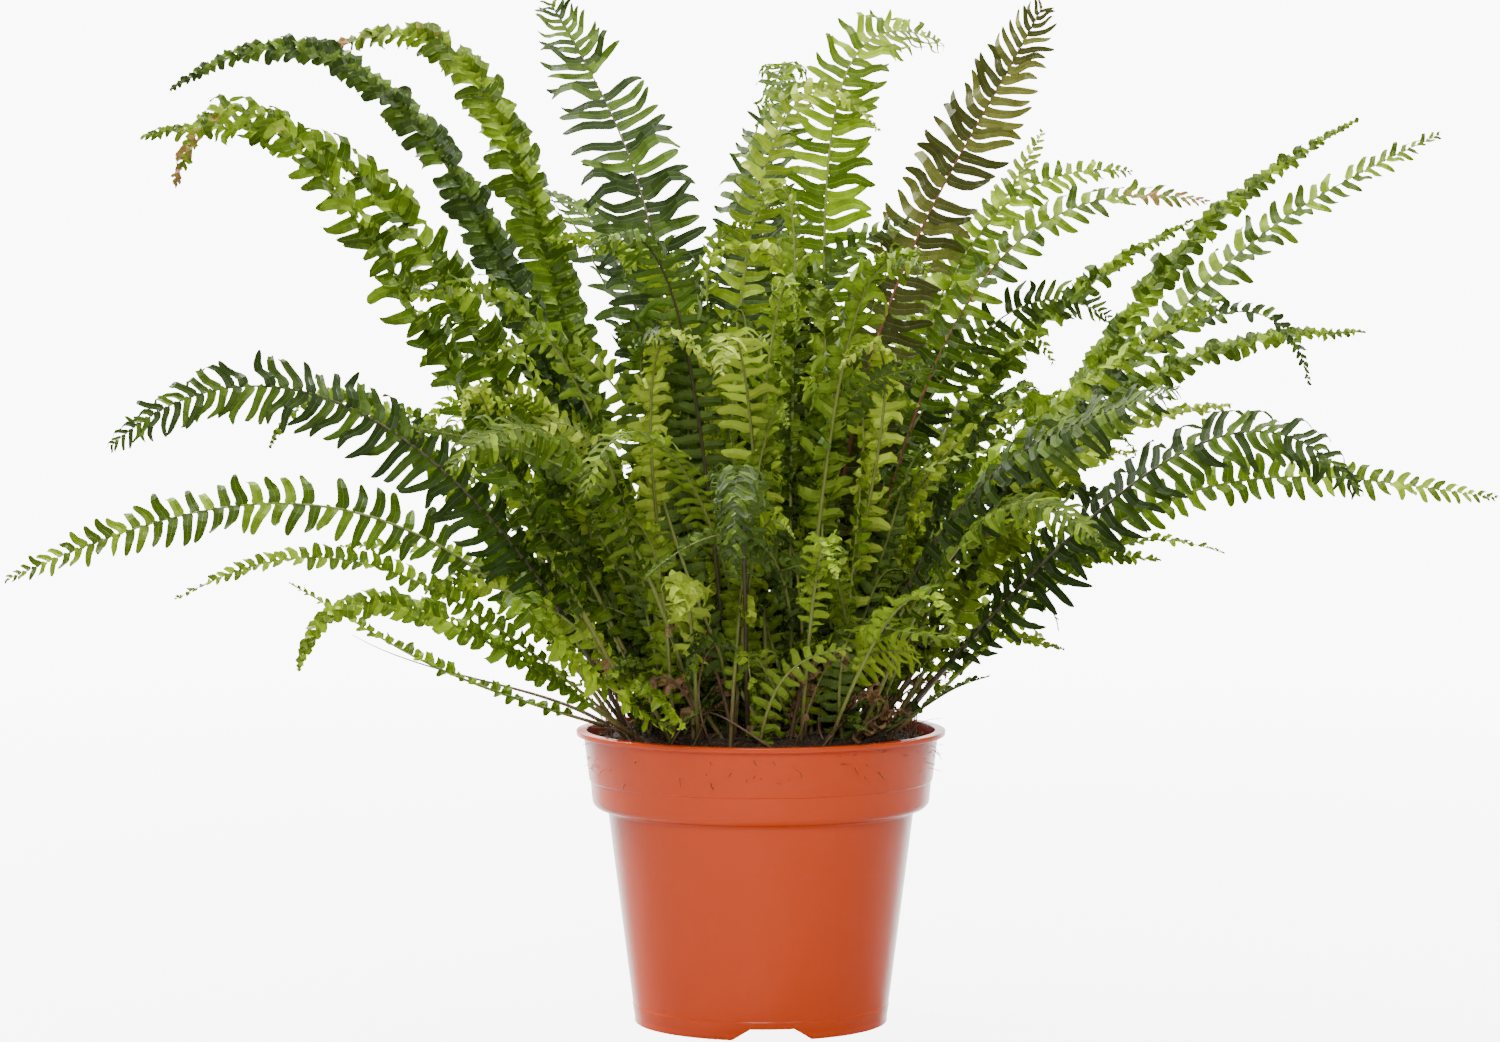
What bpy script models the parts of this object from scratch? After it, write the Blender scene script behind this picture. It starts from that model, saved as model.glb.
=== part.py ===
"""Potted sword fern in a round plastic nursery pot.

Units are metres, +Z is up. The origin is on the pot's axis at the height of its foot, and
the plant's front faces -Y. The pot is one turned shell with foot notches and drain holes,
the potting soil fills it, and each frond is one solid: a wiry stipe that flattens into a
long blade. Fronds rise straight out of the soil, because the rhizome lies under it.
"""

import math

import bmesh
import bpy
from mathutils import Matrix, Vector
from mathutils.geometry import interpolate_bezier

GAP = 0.0003

# Pot: a 17 cm nursery pot, a collar over a tapered wall on a short foot.
POT_HEIGHT = 0.135
LIP_RADIUS = 0.085
LIP_THICKNESS = 0.0024
LIP_EDGE = 0.0008
LIP_EDGE_STEPS = 3
LIP_DRAFT = 0.0002
COLLAR_TOP_RADIUS = 0.0815
COLLAR_RING_Z = 0.112
COLLAR_RING_RADIUS = 0.0790
COLLAR_RING_STEP = 0.0005
COLLAR_FOOT_Z = 0.1015
COLLAR_FOOT_RADIUS = 0.0775
LEDGE_Z = 0.0980
WALL_TOP_RADIUS = 0.0703
WALL_FOOT_RADIUS = 0.0578
WALL = 0.0013
FOOT_BAND_HEIGHT = 0.0035
FOOT_BAND_PROUD = 0.0004
FOOT_WIDTH = 0.0026
FLOOR_Z = 0.0060
FLOOR_THICKNESS = 0.0016
POT_STEPS = 48

NOTCH_BEARINGS = (-85, 35, 155)
NOTCH_WIDTH = 0.0360
NOTCH_TOP_SHARE = 0.55
NOTCH_HEIGHT = 0.0052
NOTCH_DEPTH = 0.0120

DRAIN_HOLE_COUNT = 6
DRAIN_HOLE_RADIUS = 0.0050
DRAIN_RING_RADIUS = 0.0330

# Soil: level where the fronds stand, then falling away a little to the wall.
SOIL_TOP = 0.1320
SOIL_EDGE_Z = 0.1270
SOIL_PLATEAU_RADIUS = 0.0640
SOIL_SHOULDER_LIFT = 0.0010
SOIL_STEPS = 32

# Fronds. The solid blade is a little narrower than the spread of the leaflets, so that
# neighbouring fronds stay clear. The pulls shape the arch, as shares of its span.
STIPE_HALF_WIDTH = 0.0012
BLADE_HALF_THICKNESS = 0.0006
SOLID_SHARE = 0.75
BARE_SHARE = 0.20
ROLL_SHARE = 0.40
FROND_SECTIONS = 16
ROOT_PULL = 0.60
TIP_PULL = 0.35

LEAF_COLOURS = {
    "deep_green": (0.045, 0.105, 0.030),
    "mid_green": (0.090, 0.200, 0.045),
    "fresh_green": (0.170, 0.330, 0.065),
    "pale_green": (0.330, 0.480, 0.160),
    "bronze_green": (0.120, 0.120, 0.045),
}

# Each frond: name, leaf colour, the bearing and radius where it leaves the soil, its tip, its
# slope as it rises and as it ends, the sideways sweep of its heading from root to tip, the
# roll of its blade and the blade's width. Angles are in degrees, bearing 0 is +X and 90 is +Y.
FRONDS = [
    ("left_top_1", "deep_green", 172, 0.040, (-0.270, 0.015, 0.427), 72, -35, 0, -55, 0.036),
    ("left_top_2", "deep_green", 155, 0.044, (-0.214, 0.085, 0.446), 70, -25, 0, -40, 0.046),
    ("left_top_3", "mid_green", 188, 0.044, (-0.276, -0.050, 0.406), 63, -12, 0, -50, 0.042),
    ("left_top_4", "mid_green", 204, 0.054, (-0.256, -0.095, 0.382), 60, -75, 0, -50, 0.040),
    ("left_mid_1", "deep_green", 197, 0.061, (-0.290, -0.060, 0.268), 64, -42, 0, -60, 0.046),
    ("left_mid_2", "mid_green", 158, 0.054, (-0.232, 0.070, 0.262), 49, -62, 0, -60, 0.024),
    ("left_mid_3", "mid_green", 140, 0.056, (-0.208, 0.130, 0.282), 52, 5, 0, -30, 0.016),
    ("left_low_1", "mid_green", 180, 0.060, (-0.344, 0.000, 0.204), 56, -24, 0, -60, 0.032),
    ("left_low_2", "fresh_green", 150, 0.060, (-0.205, 0.110, 0.212), 45, -5, 0, -40, 0.016),
    ("left_low_3", "fresh_green", 205, 0.062, (-0.258, -0.075, 0.198), 42, -28, 0, -55, 0.018),
    ("left_low_4", "fresh_green", 214, 0.064, (-0.202, -0.115, 0.172), 34, -75, 0, -50, 0.024),
    ("left_low_5", "fresh_green", 168, 0.064, (-0.222, 0.040, 0.203), 14, 28, 0, -20, 0.016),
    ("crown_1", "deep_green", 166, 0.038, (-0.102, 0.110, 0.474), 88, 48, 10, -30, 0.050),
    ("crown_2", "mid_green", 132, 0.036, (0.002, 0.165, 0.424), 86, -45, 30, 0, 0.040),
    ("crown_3", "deep_green", 160, 0.016, (0.002, 0.092, 0.425), 88, 52, 0, 0, 0.042),
    ("crown_4", "pale_green", 215, 0.026, (0.053, 0.010, 0.410), 88, -50, 0, 60, 0.026),
    ("crown_5", "fresh_green", 46, 0.036, (0.086, 0.085, 0.454), 84, -15, 0, 45, 0.040),
    ("crown_6", "bronze_green", 340, 0.022, (0.126, -0.020, 0.465), 84, 62, 0, 80, 0.042),
    ("crown_7", "pale_green", 55, 0.046, (0.138, 0.135, 0.416), 82, 55, 0, 40, 0.028),
    ("crown_8", "fresh_green", 35, 0.042, (0.175, 0.095, 0.392), 76, -5, 0, 55, 0.028),
    ("crown_9", "bronze_green", 350, 0.036, (0.205, -0.010, 0.377), 80, -12, 0, 40, 0.032),
    ("right_top_1", "mid_green", 18, 0.048, (0.278, 0.050, 0.414), 54, 28, 0, 45, 0.028),
    ("right_top_2", "mid_green", 4, 0.050, (0.313, 0.005, 0.405), 54, 24, 0, 45, 0.032),
    ("right_top_3", "mid_green", 40, 0.050, (0.208, 0.120, 0.370), 68, 25, 0, 40, 0.024),
    ("right_mid_1", "deep_green", 338, 0.046, (0.240, -0.075, 0.292), 66, -80, 0, 45, 0.022),
    ("right_mid_2", "mid_green", 24, 0.056, (0.290, 0.075, 0.314), 58, 0, 0, 40, 0.028),
    ("right_mid_3", "fresh_green", 325, 0.050, (0.200, -0.110, 0.334), 66, 30, 0, 40, 0.036),
    ("right_mid_4", "pale_green", 350, 0.057, (0.212, -0.022, 0.283), 58, 5, 0, 40, 0.030),
    ("right_low_1", "deep_green", 340, 0.058, (0.262, -0.085, 0.248), 48, -52, 0, 50, 0.048),
    ("right_low_2", "fresh_green", 2, 0.060, (0.340, 0.010, 0.242), 52, -8, 0, 55, 0.026),
    ("right_low_3", "fresh_green", 332, 0.064, (0.205, -0.060, 0.222), 42, -20, 0, 20, 0.016),
    ("right_low_4", "fresh_green", 36, 0.062, (0.142, 0.070, 0.172), 60, -80, 0, 30, 0.018),
    ("right_low_5", "pale_green", 20, 0.064, (0.132, 0.030, 0.168), 62, -80, 0, 30, 0.018),
    ("right_low_6", "deep_green", 316, 0.064, (0.103, -0.070, 0.166), 30, 15, 0, 10, 0.014),
    ("front_1", "deep_green", 310, 0.050, (0.170, -0.160, 0.295), 62, 15, 0, 40, 0.052),
    ("front_2", "fresh_green", 228, 0.060, (-0.036, -0.110, 0.144), 60, -40, 60, -30, 0.026),
    ("front_3", "pale_green", 240, 0.056, (-0.035, -0.165, 0.200), 58, -30, 0, -20, 0.030),
    ("front_4", "deep_green", 262, 0.044, (-0.010, -0.262, 0.225), 64, -70, 0, 0, 0.030),
    ("front_5", "pale_green", 276, 0.034, (-0.016, -0.200, 0.300), 74, -40, 0, 0, 0.028),
    ("front_6", "fresh_green", 290, 0.052, (0.030, -0.190, 0.215), 58, -40, 0, 10, 0.020),
    ("front_7", "fresh_green", 300, 0.060, (0.080, -0.160, 0.192), 52, -50, 0, 10, 0.020),
    ("front_8", "mid_green", 236, 0.046, (-0.130, -0.190, 0.262), 66, -35, 0, -30, 0.036),
    ("front_9", "mid_green", 222, 0.044, (-0.150, -0.150, 0.335), 70, -10, 0, -40, 0.036),
    ("front_10", "deep_green", 250, 0.036, (-0.075, -0.160, 0.355), 78, -20, 0, 10, 0.040),
    ("front_11", "mid_green", 296, 0.036, (0.070, -0.165, 0.345), 76, -20, 0, 10, 0.038),
    ("front_12", "mid_green", 316, 0.060, (0.135, -0.185, 0.235), 56, -30, 0, 30, 0.036),
    ("back_1", "mid_green", 100, 0.050, (-0.055, 0.262, 0.290), 66, -40, 0, 0, 0.044),
    ("back_2", "deep_green", 78, 0.052, (0.060, 0.258, 0.255), 62, -50, 0, 0, 0.048),
    ("back_3", "mid_green", 126, 0.054, (-0.160, 0.210, 0.262), 62, -30, 0, 20, 0.042),
    ("back_4", "mid_green", 52, 0.056, (0.165, 0.205, 0.268), 62, -20, 0, 20, 0.042),
    ("back_5", "deep_green", 88, 0.044, (0.015, 0.225, 0.375), 76, -5, 0, 0, 0.048),
    ("back_6", "mid_green", 60, 0.046, (0.120, 0.185, 0.350), 72, 0, 0, 10, 0.040),
    ("back_7", "deep_green", 118, 0.044, (-0.125, 0.180, 0.385), 76, 0, 0, 10, 0.046),
    ("back_8", "fresh_green", 96, 0.064, (-0.010, 0.215, 0.190), 46, -40, 0, 0, 0.030),
    ("back_9", "mid_green", 136, 0.064, (-0.150, 0.150, 0.188), 44, -30, 0, 20, 0.034),
]

# Runner: a dry leafless stem that leaves the left edge of the soil.
RUNNER_HALF_WIDTH = 0.0007
RUNNER_PATH = [
    (-0.068, 0.020, 0.1318),
    (-0.085, 0.027, 0.1420),
    (-0.110, 0.035, 0.1490),
    (-0.140, 0.046, 0.1550),
    (-0.168, 0.054, 0.1610),
    (-0.196, 0.066, 0.1720),
]


def clear_scene():
    for old in list(bpy.data.objects):
        bpy.data.objects.remove(old, do_unlink=True)


def new_collection(name):
    collection = bpy.data.collections.new(name)
    bpy.context.scene.collection.children.link(collection)
    return collection


def material(name, colour, roughness):
    made = bpy.data.materials.get(name) or bpy.data.materials.new(name)
    made.use_nodes = True
    shader = made.node_tree.nodes["Principled BSDF"]
    shader.inputs["Base Color"].default_value = (*colour, 1.0)
    shader.inputs["Roughness"].default_value = roughness
    shader.inputs["Metallic"].default_value = 0.0
    return made


def add_object(name, data, collection):
    made = bpy.data.objects.new(name, data)
    collection.objects.link(made)
    return made


def turned(name, profile, steps, collection):
    """An object whose open profile of (radius, height) points is turned about +Z."""
    outline = bpy.data.meshes.new(name)
    points = [(radius, 0.0, height) for radius, height in profile]
    outline.from_pydata(points, [(i, i + 1) for i in range(len(points) - 1)], [])
    made = add_object(name, outline, collection)
    screw = made.modifiers.new("Turn", "SCREW")
    screw.axis = "Z"
    screw.steps = steps
    screw.render_steps = steps
    screw.use_merge_vertices = True
    screw.merge_threshold = 0.00001
    return made


def arc(centre, radius, start, end, steps):
    """Points on an arc of a profile, angles in degrees from the +radius direction."""
    points = []
    for i in range(steps + 1):
        angle = math.radians(start + (end - start) * i / steps)
        points.append((centre[0] + radius * math.cos(angle), centre[1] + radius * math.sin(angle)))
    return points


def wall_radius(height):
    """Outer radius of the tapered wall under the collar."""
    share = height / LEDGE_Z
    return WALL_FOOT_RADIUS + (WALL_TOP_RADIUS - WALL_FOOT_RADIUS) * share


def pot_inside():
    """Inner outline of the pot from the middle of its floor up to the rim."""
    floor_top = FLOOR_Z + FLOOR_THICKNESS
    return [
        (0.0, floor_top),
        (wall_radius(floor_top) - WALL, floor_top),
        (WALL_TOP_RADIUS - WALL, LEDGE_Z + WALL),
        (COLLAR_FOOT_RADIUS - WALL, COLLAR_FOOT_Z + WALL),
        (COLLAR_RING_RADIUS - WALL, COLLAR_RING_Z),
        (COLLAR_TOP_RADIUS - WALL, POT_HEIGHT),
    ]


def pot_outside():
    """Outer outline of the pot from the rim down to the underside of its floor."""
    lip_under = POT_HEIGHT - LIP_THICKNESS
    lip_centre = (LIP_RADIUS - LIP_EDGE, POT_HEIGHT - LIP_EDGE)
    foot_radius = WALL_FOOT_RADIUS + FOOT_BAND_PROUD
    lip = arc(lip_centre, LIP_EDGE, 90, 0, LIP_EDGE_STEPS)
    lip += [(LIP_RADIUS - LIP_DRAFT, lip_under), (COLLAR_TOP_RADIUS, lip_under)]
    collar = [
        (COLLAR_RING_RADIUS, COLLAR_RING_Z),
        (COLLAR_RING_RADIUS - COLLAR_RING_STEP, COLLAR_RING_Z - COLLAR_RING_STEP),
        (COLLAR_FOOT_RADIUS, COLLAR_FOOT_Z),
    ]
    ledge_reach = COLLAR_FOOT_RADIUS - WALL_TOP_RADIUS
    ledge_middle = 0.5 * (COLLAR_FOOT_Z + LEDGE_Z)
    ledge = [(WALL_TOP_RADIUS + 0.75 * ledge_reach, ledge_middle), (WALL_TOP_RADIUS, LEDGE_Z)]
    foot = [
        (wall_radius(FOOT_BAND_HEIGHT), FOOT_BAND_HEIGHT),
        (foot_radius, FOOT_BAND_HEIGHT - FOOT_BAND_PROUD),
        (foot_radius, 0.0),
        (foot_radius - FOOT_WIDTH, 0.0),
        (foot_radius - FOOT_WIDTH, FLOOR_Z),
        (0.0, FLOOR_Z),
    ]
    return lip + collar + ledge + foot


def cut(target, cutter, name):
    cutter.hide_render = True
    cutter.display_type = "WIRE"
    boolean = target.modifiers.new(name, "BOOLEAN")
    boolean.operation = "DIFFERENCE"
    boolean.solver = "EXACT"
    boolean.object = cutter


def notch_cutter(bearing, cutters):
    """A wedge that is wide at the foot and narrower above, set across the foot ring."""
    bpy.ops.mesh.primitive_cube_add(size=1.0)
    wedge = bpy.context.object
    wedge.name = f"foot_notch_cutter_{bearing}"
    for vertex in wedge.data.vertices:
        width = NOTCH_WIDTH * (NOTCH_TOP_SHARE if vertex.co.z > 0 else 1.0)
        vertex.co = (vertex.co.x * NOTCH_DEPTH, vertex.co.y * width, vertex.co.z * 2 * NOTCH_HEIGHT)
    angle = math.radians(bearing)
    distance = WALL_FOOT_RADIUS - FOOT_WIDTH / 2
    wedge.location = (distance * math.cos(angle), distance * math.sin(angle), 0.0)
    wedge.rotation_euler = (0.0, 0.0, angle)
    move_to(wedge, cutters)
    return wedge


def hole_cutter(bearing, distance, cutters):
    bpy.ops.mesh.primitive_cylinder_add(
        vertices=16, radius=DRAIN_HOLE_RADIUS, depth=6 * FLOOR_THICKNESS
    )
    hole = bpy.context.object
    hole.name = f"drain_hole_cutter_{round(bearing)}_{round(distance * 1000)}"
    angle = math.radians(bearing)
    hole.location = (distance * math.cos(angle), distance * math.sin(angle), FLOOR_Z)
    move_to(hole, cutters)
    return hole


def move_to(made, collection):
    for old in list(made.users_collection):
        old.objects.unlink(made)
    collection.objects.link(made)


def build_pot(parts, cutters):
    pot = turned("nursery_pot", pot_inside() + pot_outside(), POT_STEPS, parts)
    for bearing in NOTCH_BEARINGS:
        cut(pot, notch_cutter(bearing, cutters), f"Foot notch {bearing}")
    cut(pot, hole_cutter(0, 0, cutters), "Centre drain")
    for i in range(DRAIN_HOLE_COUNT):
        bearing = 360 * i / DRAIN_HOLE_COUNT
        cut(pot, hole_cutter(bearing, DRAIN_RING_RADIUS, cutters), f"Drain {i + 1}")
    pot.data.materials.append(material("terracotta_plastic", (0.56, 0.11, 0.035), 0.35))


def build_soil(parts):
    """The root ball: it follows the pot's inner wall, one gap inside it."""
    inside = pot_inside()
    floor = inside[0][1] + GAP
    side = [(radius - GAP, height) for radius, height in inside[2:5]]
    ring_inside = COLLAR_RING_RADIUS - WALL
    rise_share = (SOIL_EDGE_Z - COLLAR_RING_Z) / (POT_HEIGHT - COLLAR_RING_Z)
    edge_radius = ring_inside + (COLLAR_TOP_RADIUS - COLLAR_RING_RADIUS) * rise_share - GAP
    shoulder_radius = 0.5 * (SOIL_PLATEAU_RADIUS + edge_radius)
    shoulder_z = 0.5 * (SOIL_TOP + SOIL_EDGE_Z) + SOIL_SHOULDER_LIFT
    shoulder = [
        (0.0, SOIL_TOP),
        (SOIL_PLATEAU_RADIUS, SOIL_TOP),
        (shoulder_radius, shoulder_z),
        (edge_radius, SOIL_EDGE_Z),
    ]
    base = [(inside[1][0] - GAP, floor), (0.0, floor)]
    soil = turned("potting_soil", shoulder + side[::-1] + base, SOIL_STEPS, parts)
    soil.data.materials.append(material("peat", (0.030, 0.018, 0.010), 0.95))


def heading(bearing):
    angle = math.radians(bearing)
    return Vector((math.cos(angle), math.sin(angle), 0.0))


def frond_spine(bearing, radius, tip, rise, fall, sweep):
    """Points along a frond, a Bezier arch from the soil to the tip."""
    rise_angle = math.radians(rise)
    fall_angle = math.radians(fall)
    root = heading(bearing) * radius
    clearance = GAP + BLADE_HALF_THICKNESS * math.cos(rise_angle)
    root.z = SOIL_TOP + clearance
    end = Vector(tip)
    span = (end - root).length
    along = math.degrees(math.atan2(end.y - root.y, end.x - root.x))
    leave = heading(along - sweep) * math.cos(rise_angle) + Vector((0, 0, math.sin(rise_angle)))
    arrive = heading(along + sweep) * math.cos(fall_angle) + Vector((0, 0, math.sin(fall_angle)))
    second = root + leave * span * ROOT_PULL
    third = end - arrive * span * TIP_PULL
    return interpolate_bezier(root, second, third, end, FROND_SECTIONS)


def blade_share(along):
    """Width of the blade at a share of the frond's length, against its widest place."""
    if along <= BARE_SHARE:
        return 0.0
    share = (along - BARE_SHARE) / (1 - BARE_SHARE)
    return max(0.0, math.sin(math.pi * share**0.7)) ** 0.6


def frond_sections(spine, roll, width):
    """Four-cornered sections: a wiry stipe that flattens into the blade."""
    sections = []
    last = len(spine) - 1
    for i, centre in enumerate(spine):
        along = i / last
        tangent = (spine[min(i + 1, last)] - spine[max(i - 1, 0)]).normalized()
        side = tangent.cross(Vector((0, 0, 1))).normalized()
        turn = math.radians(roll) * min(1.0, along / ROLL_SHARE)
        side = Matrix.Rotation(turn, 3, tangent) @ side
        normal = side.cross(tangent)
        half_width = max(STIPE_HALF_WIDTH, 0.5 * SOLID_SHARE * width * blade_share(along))
        half_thickness = BLADE_HALF_THICKNESS
        if i == last:
            half_width *= 0.5
            half_thickness *= 0.5
        across = side * half_width
        through = normal * half_thickness
        sections.append([centre + across, centre + through, centre - across, centre - through])
    return sections


def loft_blade(name, sections, collection):
    """A closed solid through four-cornered sections. On a twisted blade each face is split
    from its edge corner to its middle corner, so that the two sides stay parallel."""
    mesh = bmesh.new()
    rings = [[mesh.verts.new(corner) for corner in section] for section in sections]
    for near, far in zip(rings, rings[1:]):
        for k in range(4):
            after = (k + 1) % 4
            edge, middle = (k, after) if k % 2 == 0 else (after, k)
            mesh.faces.new((near[k], near[after], far[middle]))
            mesh.faces.new((near[edge], far[after], far[k]))
    mesh.faces.new(rings[0])
    mesh.faces.new(reversed(rings[-1]))
    bmesh.ops.recalc_face_normals(mesh, faces=mesh.faces)
    data = bpy.data.meshes.new(name)
    mesh.to_mesh(data)
    mesh.free()
    return add_object(name, data, collection)


def build_fronds(parts):
    for name, green, bearing, radius, tip, rise, fall, sweep, roll, width in FRONDS:
        spine = frond_spine(bearing, radius, tip, rise, fall, sweep)
        frond = loft_blade(f"frond_{name}", frond_sections(spine, roll, width), parts)
        frond.data.materials.append(material(green, LEAF_COLOURS[green], 0.5))


def build_runner(parts):
    curve = bpy.data.curves.new("runner", "CURVE")
    curve.dimensions = "3D"
    curve.bevel_depth = RUNNER_HALF_WIDTH
    curve.bevel_resolution = 0
    curve.use_fill_caps = True
    spline = curve.splines.new("POLY")
    spline.points.add(len(RUNNER_PATH) - 1)
    for point, place in zip(spline.points, RUNNER_PATH):
        point.co = (*place, 1.0)
    runner = add_object("runner", curve, parts)
    runner.data.materials.append(material("dry_stem", (0.16, 0.075, 0.035), 0.7))


clear_scene()
fern_parts = new_collection("potted_fern")
cutter_parts = new_collection("cutters")
build_pot(fern_parts, cutter_parts)
build_soil(fern_parts)
build_fronds(fern_parts)
build_runner(fern_parts)
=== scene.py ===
import math
import random

import bmesh
import bpy
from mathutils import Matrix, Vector, noise


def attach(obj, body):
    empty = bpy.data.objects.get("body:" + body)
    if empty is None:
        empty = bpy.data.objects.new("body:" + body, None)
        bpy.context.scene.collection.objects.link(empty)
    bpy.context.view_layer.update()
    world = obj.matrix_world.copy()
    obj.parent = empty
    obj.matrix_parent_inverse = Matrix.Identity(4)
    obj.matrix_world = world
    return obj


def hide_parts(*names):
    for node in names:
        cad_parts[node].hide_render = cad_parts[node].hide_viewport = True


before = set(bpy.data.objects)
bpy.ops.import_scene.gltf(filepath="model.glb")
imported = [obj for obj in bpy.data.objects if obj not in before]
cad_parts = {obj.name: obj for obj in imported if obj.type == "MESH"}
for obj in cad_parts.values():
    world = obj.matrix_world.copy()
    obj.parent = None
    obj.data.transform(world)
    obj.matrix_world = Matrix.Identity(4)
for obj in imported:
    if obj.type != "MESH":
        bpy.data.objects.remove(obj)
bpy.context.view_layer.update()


# ---------------------------------------------------------------------------------------
# Pot
# A round nursery pot, injection-moulded in one shot of glossy terracotta polypropylene: a
# thin collar over a tapered wall. The foot ring has three notches so that water runs out.
# ---------------------------------------------------------------------------------------
POT_HEIGHT = 0.135
POT_STEPS = 144
FLOOR_UNDER = 0.0060
FLOOR_TOP = 0.0076
ROUNDING_STEPS = 4

# Corners of the wall's outline as (radius, height, rounding), from the middle of the floor
# inside, up over the lip and down the outside to the middle of the floor's underside.
POT_CORNERS = [
    (0.0, FLOOR_TOP, 0.0),
    (0.0569, FLOOR_TOP, 0.0020),
    (0.0690, 0.0993, 0.0015),
    (0.0762, 0.1028, 0.0015),
    (0.0777, 0.1120, 0.0010),
    (0.0802, POT_HEIGHT, 0.0004),
    (0.0850, POT_HEIGHT, 0.0008),
    (0.0848, 0.1326, 0.0004),
    (0.0815, 0.1326, 0.0009),
    (0.0790, 0.1121, 0.0002),
    (0.0784, 0.1116, 0.0003),
    (0.0775, 0.1015, 0.0022),
    (0.0755, 0.0993, 0.0012),
    (0.0704, 0.0982, 0.0016),
    (0.0590, 0.0088, 0.0004),
    (0.0592, 0.0082, 0.0003),
    (0.0584, 0.0036, 0.0003),
    (0.0583, 0.0030, 0.0003),
    (0.0582, 0.0000, 0.0005),
    (0.0556, 0.0000, 0.0005),
    (0.0556, FLOOR_UNDER, 0.0008),
    (0.0, FLOOR_UNDER, 0.0),
]
NOTCH_BEARINGS = (-85, 35, 155)
NOTCH_FOOT_WIDTH = 0.0360
NOTCH_TOP_WIDTH = 0.0200
NOTCH_HEIGHT = 0.0052
NOTCH_DEPTH = 0.0120
FOOT_RING_RADIUS = 0.0569
DRAIN_RADIUS = 0.0050
DRAIN_RING = 0.0330
DRAIN_COUNT = 6
DRAIN_STEPS = 24
CUTTER_OVERLAP = 0.004


def holds_vector(value):
    if isinstance(value, Amount):
        return value.socket.type in ("VECTOR", "RGBA")
    return isinstance(value, (tuple, Vector))


class Amount:
    """A number or vector that flows through a node tree, so that formulas can be written out."""

    def __init__(self, bench, socket):
        self.bench = bench
        self.socket = socket

    def __add__(self, other):
        return self.bench.calc("ADD", self, other)

    def __sub__(self, other):
        return self.bench.calc("SUBTRACT", self, other)

    def __rsub__(self, other):
        return self.bench.calc("SUBTRACT", other, self)

    def __mul__(self, other):
        return self.bench.calc("MULTIPLY", self, other)

    def __truediv__(self, other):
        return self.bench.calc("DIVIDE", self, other)

    __radd__ = __add__
    __rmul__ = __mul__


class Bench:
    """Puts nodes into one tree. A socket takes a plain value or an amount."""

    def __init__(self, tree):
        self.tree = tree

    def node(self, kind, sockets=None, **settings):
        made = self.tree.nodes.new(kind)
        for name, value in settings.items():
            setattr(made, name, value)
        for key, value in (sockets or {}).items():
            self.feed(made.inputs[key], value)
        return made

    def feed(self, socket, value):
        if isinstance(value, Amount):
            self.tree.links.new(value.socket, socket)
        else:
            socket.default_value = value

    def out(self, made, key=0):
        return Amount(self, made.outputs[key])

    def result(self, kind, sockets=None, key=0, **settings):
        """The first result of a new node, or the one that the key names."""
        return self.out(self.node(kind, sockets, **settings), key)

    def calc(self, operation, *values):
        """A Math node, or a Vector Math node where one of the values is a vector."""
        vectors = [value for value in values if holds_vector(value)]
        if operation == "MULTIPLY" and len(vectors) == 1:
            factor = next(value for value in values if not holds_vector(value))
            sockets = {"Vector": vectors[0], "Scale": factor}
            return self.result("ShaderNodeVectorMath", sockets, "Vector", operation="SCALE")
        kind = "ShaderNodeVectorMath" if vectors else "ShaderNodeMath"
        made = self.node(kind, operation=operation)
        for socket, value in zip(made.inputs, values):
            self.feed(socket, value)
        plain = not vectors or operation in ("DOT_PRODUCT", "LENGTH")
        return self.out(made, "Value" if plain else "Vector")

    def step(self, value, start, end, low=0.0, high=1.0):
        """Goes smoothly from low to high as the value goes from start to end."""
        ends = {"From Min": start, "From Max": end, "To Min": low, "To Max": high}
        sockets = {"Value": value, **ends}
        return self.result("ShaderNodeMapRange", sockets, "Result", interpolation_type="SMOOTHSTEP")

    def noise(self, place, scale, detail=2.0, roughness=0.5):
        sockets = {"Vector": place, "Scale": scale, "Detail": detail, "Roughness": roughness}
        return self.result("ShaderNodeTexNoise", sockets)

    def xyz(self, vector):
        made = self.node("ShaderNodeSeparateXYZ", {"Vector": vector})
        return [self.out(made, key) for key in range(3)]


class Finish(Bench):
    """A material's bench: one Principled surface with the patterns that feed it."""

    def __init__(self, name):
        made = bpy.data.materials.new(name)
        made.use_nodes = True
        super().__init__(made.node_tree)
        self.material = made
        self.surface = made.node_tree.nodes["Principled BSDF"]
        self.output = made.node_tree.nodes["Material Output"]
        self.place = self.result("ShaderNodeTexCoord", key="Object")

    def set(self, **sockets):
        """Feeds sockets of the surface: Base_Color=..., Roughness=... and so on."""
        for name, value in sockets.items():
            self.feed(self.surface.inputs[name.replace("_", " ")], value)

    def mix(self, share, first, second):
        made = self.node("ShaderNodeMix", data_type="RGBA")
        for key, value in ((0, share), (6, first), (7, second)):
            if isinstance(value, tuple):
                value = (*value, 1.0)
            self.feed(made.inputs[key], value)
        return self.out(made, 2)

    def stretched(self, x, y, z):
        """Object coordinates scaled along each axis, for patterns longer one way."""
        return self.result("ShaderNodeMapping", {"Vector": self.place, "Scale": (x, y, z)})

    def bump(self, height, distance, strength=1.0, below=None):
        sockets = {"Height": height, "Distance": distance, "Strength": strength}
        if below:
            sockets["Normal"] = below
        return self.result("ShaderNodeBump", sockets)

    def attribute(self, name):
        return self.result("ShaderNodeAttribute", key="Vector", attribute_name=name)


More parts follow.
